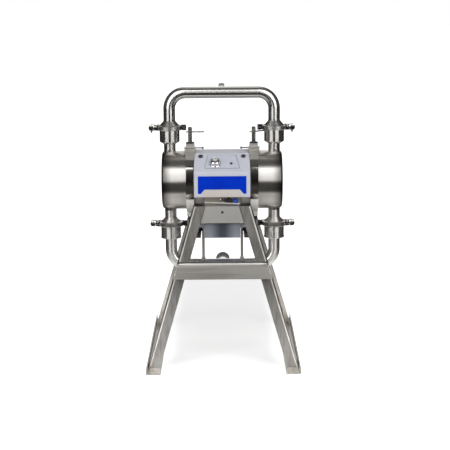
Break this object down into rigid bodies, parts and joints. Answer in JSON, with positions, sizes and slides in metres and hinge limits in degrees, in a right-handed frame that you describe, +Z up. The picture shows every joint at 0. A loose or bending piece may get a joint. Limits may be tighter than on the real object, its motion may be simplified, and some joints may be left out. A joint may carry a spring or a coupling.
{
  "type": "electric double-diaphragm pump",
  "caption": "Electric double-diaphragm pump with polished steel manifolds, hinged pipe clamps and a control housing, on a splayed steel stand.",
  "frame": {"origin": "on the floor under the middle of the stand", "axes": "+Z up, +X along the pump axis to the viewer's right, front with the control face towards -Y"},
  "size_m": [0.524, 0.684, 0.9448],
  "materials": {
    "polished_steel": "polished stainless steel",
    "clamp_steel": "cast and tumbled stainless steel",
    "stand_steel": "satin brushed stainless steel",
    "housing_paint": "light blue-grey powder coat on cast aluminium",
    "label_face": "plain blue, satin",
    "knob_metal": "turned",
    "screw_steel": "plain",
    "black_plastic": "moulded",
    "blue_plastic": "moulded",
    "connector_metal": "nickel plated",
    "black_rubber": "moulded",
    "gasket_rubber": "moulded",
    "diaphragm_face": "moulded",
    "plate_steel": "machined",
    "motor_iron": "laminated",
    "bearing_housing": "machined",
    "valve_steel": "machined",
    "ball_face": "moulded"
  },
  "bodies": {
    "frame": {"outlet_manifold": "polished_steel", "inlet_manifold": "polished_steel", "fluid_cover_left": "polished_steel", "fluid_cover_right": "polished_steel", "clamp_halves": "clamp_steel", "clamp_hinge_pins": "clamp_steel", "swing_bolts": "clamp_steel", "ring_clamp_left": "clamp_steel", "ring_clamp_right": "clamp_steel", "closure_blocks": "clamp_steel", "ring_hinge_pins": "clamp_steel", "lock_pins": "clamp_steel", "connector_guard": "clamp_steel", "leg_front_left": "stand_steel", "leg_front_right": "stand_steel", "leg_rear_left": "stand_steel", "leg_rear_right": "stand_steel", "base_rail_left": "stand_steel", "base_rail_right": "stand_steel", "front_crossbar": "stand_steel", "top_plates": "stand_steel", "mount_rail_left": "stand_steel", "mount_rail_right": "stand_steel", "manifold_hangers": "stand_steel", "centre_housing": "housing_paint", "control_panel": "housing_paint", "label_plate": "label_face", "panel_screws": "screw_steel", "mount_bolts": "screw_steel", "indicator_lens": "black_plastic", "power_connector": "black_plastic", "capped_connector": "blue_plastic", "signal_connector": "connector_metal", "rubber_mounts": "black_rubber", "stop_washers": "black_rubber", "joint_gaskets": "gasket_rubber", "diaphragm_left": "diaphragm_face", "diaphragm_right": "diaphragm_face", "rotor_bearings": "plate_steel", "stator": "motor_iron", "bearing_plates": "bearing_housing", "valve_cages": "valve_steel"},
    "knob": {"control_knob": "knob_metal"},
    "handle_left": {"t_handle_left": "clamp_steel"},
    "bar_left": {"tommy_bar_left": "clamp_steel"},
    "handle_right": {"t_handle_right": "clamp_steel"},
    "bar_right": {"tommy_bar_right": "clamp_steel"},
    "rotor": {"rotor": "motor_iron"},
    "screw": {"drive_screw": "plate_steel", "diaphragm_plates_left": "plate_steel", "diaphragm_plates_right": "plate_steel"},
    "check_outlet_left": {"ball_outlet_left": "ball_face"},
    "nut_outlet_left": {"wing_nut_outlet_left": "clamp_steel"},
    "check_outlet_right": {"ball_outlet_right": "ball_face"},
    "nut_outlet_right": {"wing_nut_outlet_right": "clamp_steel"},
    "check_inlet_left": {"ball_inlet_left": "ball_face"},
    "nut_inlet_left": {"wing_nut_inlet_left": "clamp_steel"},
    "check_inlet_right": {"ball_inlet_right": "ball_face"},
    "nut_inlet_right": {"wing_nut_inlet_right": "clamp_steel"}
  },
  "joints": [
    {"name": "knob_turn", "type": "hinge", "parent": "frame", "child": "knob", "pos_m": [-0.024, -0.09756, 0.68017], "axis": [0, -0.5728, 0.8197], "range_deg": [-150, 150]},
    {"name": "handle_turn_left", "type": "hinge", "parent": "frame", "child": "handle_left", "pos_m": [-0.112, 0, 0.76], "axis": [0, 0, 1], "range_deg": [-130, 130]},
    {"name": "handle_turn_right", "type": "hinge", "parent": "frame", "child": "handle_right", "pos_m": [0.112, 0, 0.76], "axis": [0, 0, 1], "range_deg": [0, 285]},
    {"name": "bar_slide_left", "type": "slide", "parent": "handle_left", "child": "bar_left", "axis": [1, 0, 0], "range_m": [-0.018, 0]},
    {"name": "bar_slide_right", "type": "slide", "parent": "handle_right", "child": "bar_right", "axis": [0.8192, 0.5736, 0], "range_m": [-0.014, 0]},
    {"name": "rotor_turn", "type": "hinge", "parent": "frame", "child": "rotor", "pos_m": [0, 0, 0.611], "axis": [1, 0, 0], "range_deg": [-180, 180]},
    {"name": "screw_slide", "type": "slide", "parent": "frame", "child": "screw", "axis": [1, 0, 0], "range_m": [-0.012, 0.012], "deforming": ["diaphragm_left", "diaphragm_right"]},
    {"name": "ball_lift_outlet_left", "type": "slide", "parent": "frame", "child": "check_outlet_left", "axis": [0, 0, 1], "range_m": [0, 0.007]},
    {"name": "ball_lift_outlet_right", "type": "slide", "parent": "frame", "child": "check_outlet_right", "axis": [0, 0, 1], "range_m": [0, 0.007]},
    {"name": "ball_lift_inlet_left", "type": "slide", "parent": "frame", "child": "check_inlet_left", "axis": [0, 0, 1], "range_m": [0, 0.007]},
    {"name": "ball_lift_inlet_right", "type": "slide", "parent": "frame", "child": "check_inlet_right", "axis": [0, 0, 1], "range_m": [0, 0.007]},
    {"name": "nut_spin_outlet_left", "type": "hinge", "parent": "frame", "child": "nut_outlet_left", "pos_m": [-0.246, -0.02, 0.797], "axis": [0, 1, 0], "continuous": true},
    {"name": "nut_spin_outlet_right", "type": "hinge", "parent": "frame", "child": "nut_outlet_right", "pos_m": [0.246, -0.02, 0.797], "axis": [0, 1, 0], "continuous": true},
    {"name": "nut_spin_inlet_left", "type": "hinge", "parent": "frame", "child": "nut_inlet_left", "pos_m": [-0.246, -0.02, 0.454], "axis": [0, 1, 0], "continuous": true},
    {"name": "nut_spin_inlet_right", "type": "hinge", "parent": "frame", "child": "nut_inlet_right", "pos_m": [0.246, -0.02, 0.454], "axis": [0, 1, 0], "continuous": true}
  ],
  "couplings": [
    {"joint": "screw_slide", "follows": "rotor_turn", "m_per_rad": 0.0038}
  ]
}
